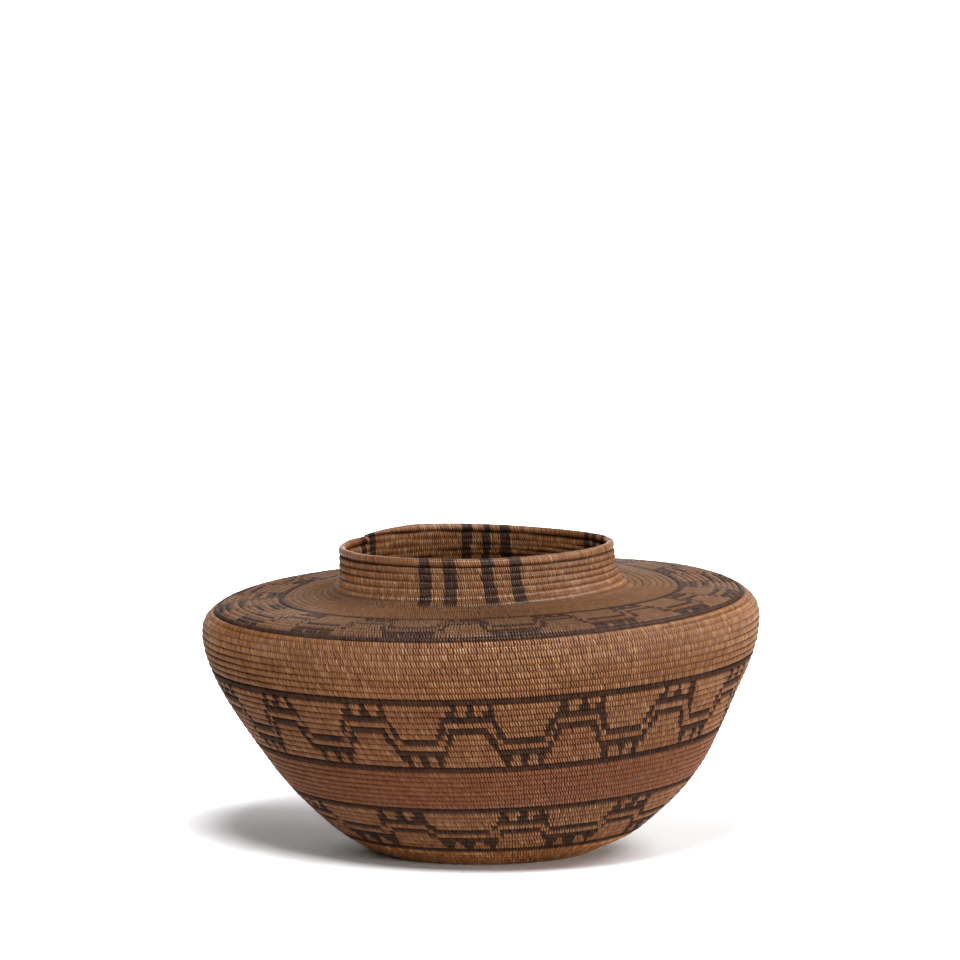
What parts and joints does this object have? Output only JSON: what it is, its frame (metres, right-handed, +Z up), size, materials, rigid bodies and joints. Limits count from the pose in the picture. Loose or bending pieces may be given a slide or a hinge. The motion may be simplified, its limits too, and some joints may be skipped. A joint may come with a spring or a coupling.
{
  "type": "bottleneck basket",
  "caption": "Coiled, sewn basket with a flat base, flaring wall, wide round shoulder, short upright neck and open mouth, light with dark stepped figures.",
  "frame": {"origin": "middle of the flat base's underside, on the surface the basket stands on", "axes": "+Z up through the mouth; -Y towards the side that the picture shows; +X to its right, where the shoulder leans a little higher"},
  "size_m": [0.3729, 0.3722, 0.21],
  "materials": {
    "light_sewing": "split root sewing, worn and slightly glossy",
    "dark_sewing": "dark dyed root sewing with a greyish sheen",
    "figured_sewing": "light root sewing with dark stepped figures",
    "barred_sewing": "light root sewing crossed by dark upright bars, glossy from handling",
    "base_sewing": "light root sewing, rubbed and matt"
  },
  "bodies": {
    "root": {"start_knot": "base_sewing", "base_coils": "base_sewing", "base_edge_coils": "base_sewing", "foot_coils": "light_sewing", "foot_line": "dark_sewing", "lower_figure_band": "figured_sewing", "lower_line": "dark_sewing", "waist_coils": "light_sewing", "middle_line": "dark_sewing", "upper_figure_band": "figured_sewing", "upper_line": "dark_sewing", "shoulder_turn_coils": "light_sewing", "shoulder_line": "dark_sewing", "shoulder_figure_band": "figured_sewing", "collar_line": "dark_sewing", "collar_coils": "light_sewing", "neck_coils": "barred_sewing", "rim_coil": "barred_sewing", "coil_end": "light_sewing"}
  },
  "joints": []
}
